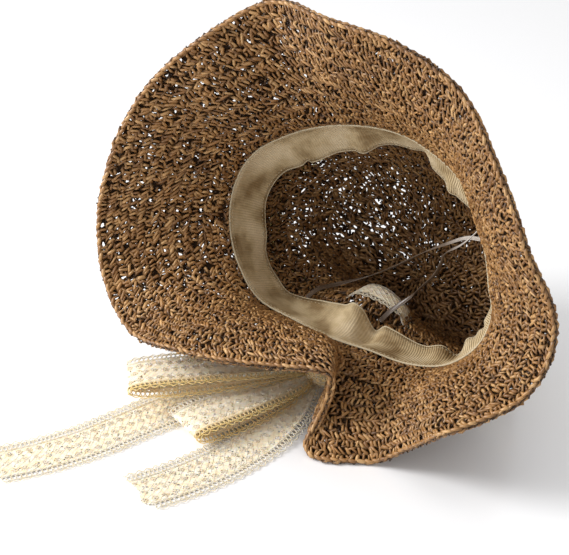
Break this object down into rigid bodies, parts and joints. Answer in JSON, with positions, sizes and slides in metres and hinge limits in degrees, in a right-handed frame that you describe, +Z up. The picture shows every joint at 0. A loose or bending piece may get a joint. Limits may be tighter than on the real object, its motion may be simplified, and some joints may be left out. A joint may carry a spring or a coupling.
{
  "type": "sun hat",
  "caption": "Wide-brimmed crocheted straw sun hat resting on its side, with a cloth sweatband and a lace band tied in a bow with long tails.",
  "frame": {"origin": "bottom centre of the bounding box, on the surface the hat rests on", "axes": "+Z up from that surface, -Y the way the head opening faces, +X to the right seen from in front of the opening"},
  "size_m": [0.343, 0.3395, 0.2642],
  "materials": {
    "straw": "crocheted paper straw, brown, slightly shiny strands",
    "band_cloth": "ribbed matt cloth, khaki",
    "lace": "open cotton lace, cream",
    "satin": "thin satin ribbon, brown, with a sheen"
  },
  "bodies": {
    "root": {"crown": "straw", "brim": "straw", "sweatband": "band_cloth", "lace_band": "lace", "lace_band_ends": "lace", "bow_knot": "lace", "loop_upper": "lace", "loop_lower": "lace", "tail_long": "lace", "tail_short": "lace", "size_ribbon_upper": "satin", "size_ribbon_lower": "satin"}
  },
  "joints": []
}
